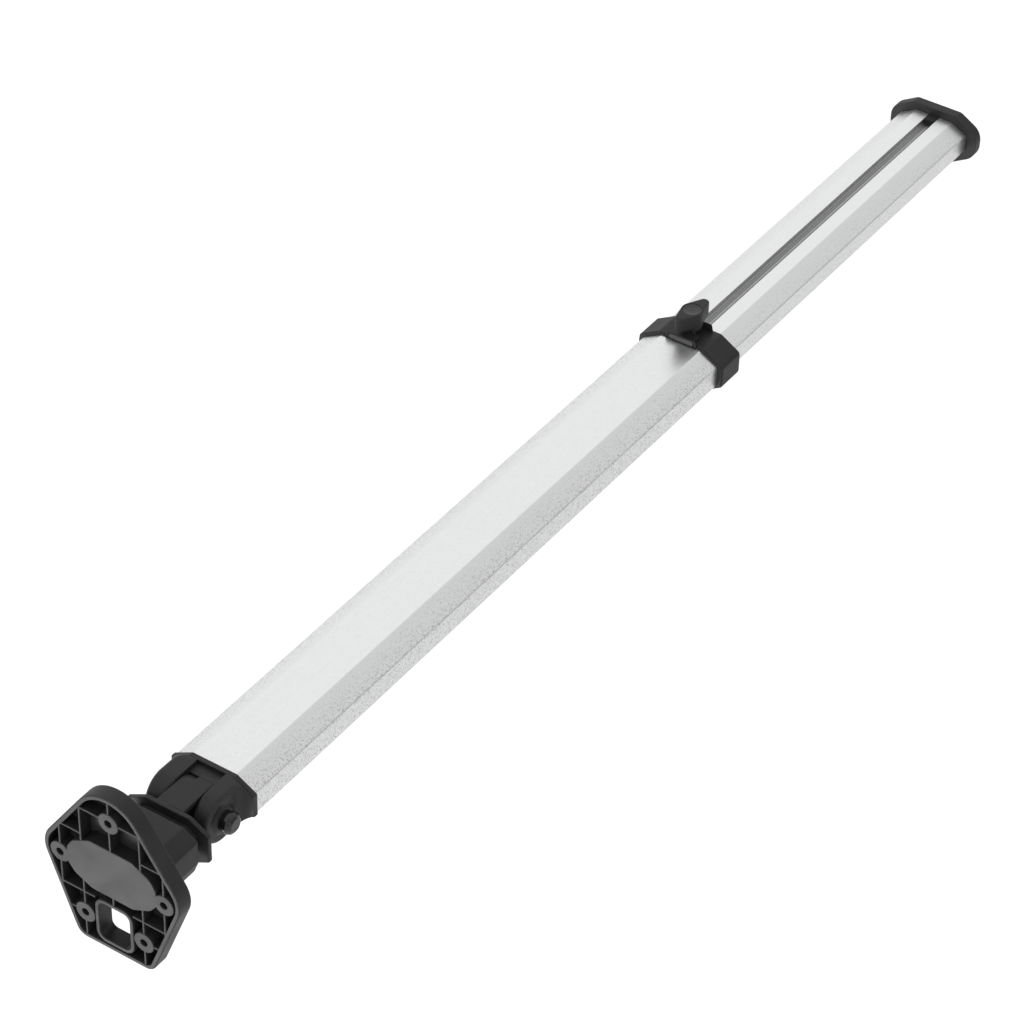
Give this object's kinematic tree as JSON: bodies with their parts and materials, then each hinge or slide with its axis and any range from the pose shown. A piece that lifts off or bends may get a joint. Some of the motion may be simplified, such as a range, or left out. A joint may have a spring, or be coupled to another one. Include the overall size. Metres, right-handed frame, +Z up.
{
  "type": "telescoping cargo bar",
  "caption": "Telescoping aluminium cargo bar with a hinged screw-down foot, a collar clamp with a wing knob and a flat end pad.",
  "frame": {"origin": "centre of the foot's mounting face, on the bar's centre line", "axes": "+X along the bar from the foot to the end pad, +Z up out of the wide face that carries the knob, +Y across the bar"},
  "size_m": [1.063, 0.1086, 0.1341],
  "materials": {
    "black_plastic": "fine moulded texture",
    "gloss_black": "gloss black coating",
    "aluminium": "satin clear anodised extrusion",
    "steel": "zinc plated",
    "bronze": "sintered bronze",
    "rubber": "moulded matte"
  },
  "bodies": {
    "foot": {"foot_base": "black_plastic", "bush_left": "bronze", "bush_right": "bronze"},
    "bar": {"hinge_pin": "gloss_black", "pin_washer": "steel", "pin_nut": "steel", "hinge_housing": "black_plastic", "housing_screws": "steel", "outer_tube": "aluminium", "stop_rivet": "steel", "collar": "black_plastic", "collar_screws": "steel", "nut_plate": "steel"},
    "shoe": {"clamp_shoe": "steel"},
    "knob": {"clamp_screw": "steel", "wing_knob": "black_plastic", "knob_cap": "black_plastic"},
    "slider": {"inner_tube": "aluminium", "glide_plug": "black_plastic", "end_plug": "black_plastic", "end_pad": "rubber", "end_screws": "steel"}
  },
  "joints": [
    {"name": "bar_fold", "type": "hinge", "parent": "foot", "child": "bar", "pos_m": [0.083, 0, 0], "axis": [0, 1, 0], "range_deg": [0, 90]},
    {"name": "bar_extend", "type": "slide", "parent": "bar", "child": "slider", "axis": [1, 0, 0], "range_m": [-0.35, 0.07]},
    {"name": "shoe_lift", "type": "slide", "parent": "bar", "child": "shoe", "axis": [0, 0, 1], "range_m": [0, 0.00125]},
    {"name": "screw_turn", "type": "hinge", "parent": "shoe", "child": "knob", "pos_m": [0.682, 0, 0.03], "axis": [0, 0, 1], "range_deg": [0, 360]}
  ],
  "couplings": [
    {"joint": "screw_turn", "follows": "shoe_lift", "rad_per_m": 5026.5}
  ]
}
